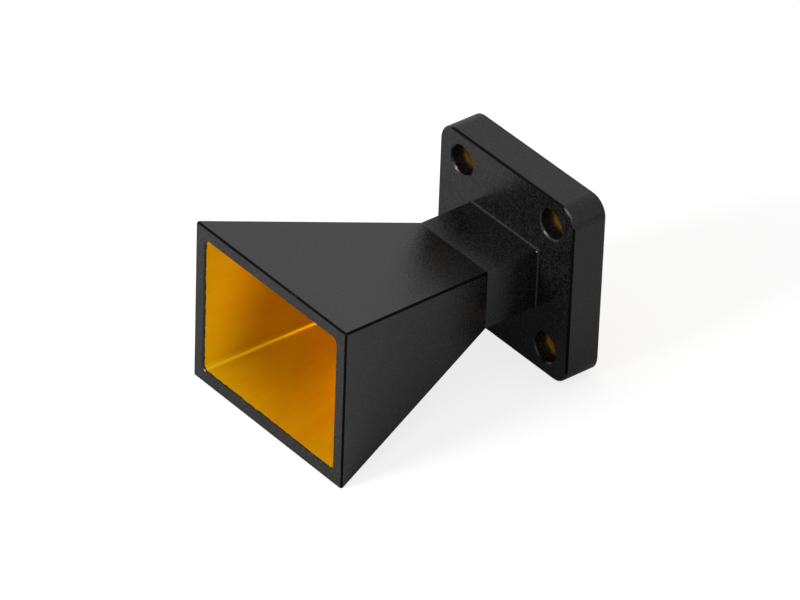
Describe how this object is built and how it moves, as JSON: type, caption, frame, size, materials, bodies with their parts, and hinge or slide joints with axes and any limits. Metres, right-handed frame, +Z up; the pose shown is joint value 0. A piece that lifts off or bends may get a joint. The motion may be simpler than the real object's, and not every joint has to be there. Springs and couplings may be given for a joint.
{
  "type": "horn antenna",
  "caption": "Small pyramidal horn antenna: a square cover flange with screw holes, a short rectangular waveguide neck and a flared rectangular mouth, black outside and gold inside.",
  "frame": {"origin": "middle of the waveguide port on the flange's mating face, which is also the middle of the four screw holes", "axes": "+Y is the mating face's outward normal, along the boresight and away from the mouth, which opens towards -Y; X runs along the broad wall of the guide; +Z is up, along the narrow wall"},
  "size_m": [0.0216, 0.0306, 0.019],
  "materials": {
    "black_paint": "satin"
  },
  "bodies": {
    "root": {"horn": "black_paint"}
  },
  "joints": []
}
